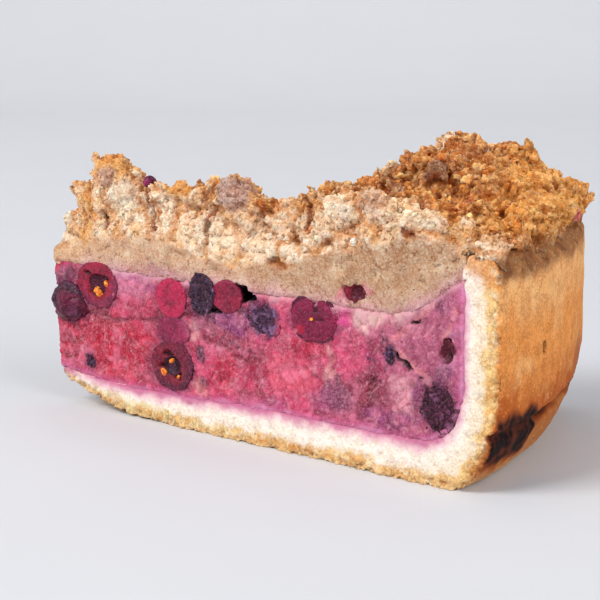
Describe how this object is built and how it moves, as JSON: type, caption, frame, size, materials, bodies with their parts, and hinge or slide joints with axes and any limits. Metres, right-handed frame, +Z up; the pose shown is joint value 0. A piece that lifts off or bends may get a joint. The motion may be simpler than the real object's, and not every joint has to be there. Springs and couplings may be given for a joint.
{
  "type": "slice of berry crumble pie",
  "caption": "Wedge of deep berry crumble pie: short pastry base and tall wall, set berry filling with halved berries in both cuts, a baked streusel layer and heaped crumble.",
  "frame": {"origin": "under the middle of the flat base, on the slice's centre line, 66 mm from the pie's centre", "axes": "+X from the point of the slice to its rim, +Z up, +Y to the left of +X seen from above"},
  "size_m": [0.1297, 0.0825, 0.0709],
  "materials": {
    "shortcrust": "matt short pastry, pale and crumbly where cut, golden brown outside, dark and sticky at the seam near the foot",
    "berry_filling": "moist set filling, crimson to mauve, marbled by berry juice, with small wet glints",
    "baked_streusel": "pale dense baked streusel, matt and fine-grained",
    "crumble": "matt dry crumble, pale in the cut and golden to dark brown on top",
    "berry": "wet dark berry skin and wine-red flesh"
  },
  "bodies": {
    "root": {"crust": "shortcrust", "berry_filling": "berry_filling", "baked_streusel_layer": "baked_streusel", "crumble_topping": "crumble", "berry_halved_by_point": "berry", "berry_in_point": "berry", "berry_red_half": "berry", "berry_dark_skin": "berry", "berry_wine_half": "berry", "berry_faded_half": "berry", "berry_seedy_half": "berry", "berry_crushed": "berry", "berry_heart_half": "berry", "berry_sunk_top": "berry", "berry_sunk_wall": "berry", "berry_split_small": "berry", "berry_crushed_corner": "berry", "berry_small_point": "berry", "berry_back_wine": "berry", "berry_back_dark": "berry", "berry_back_seedy": "berry", "berry_back_red": "berry", "berry_back_heart": "berry", "berry_back_crushed": "berry", "berry_back_faded": "berry", "berry_back_corner": "berry", "berry_on_crumble": "berry"}
  },
  "joints": []
}
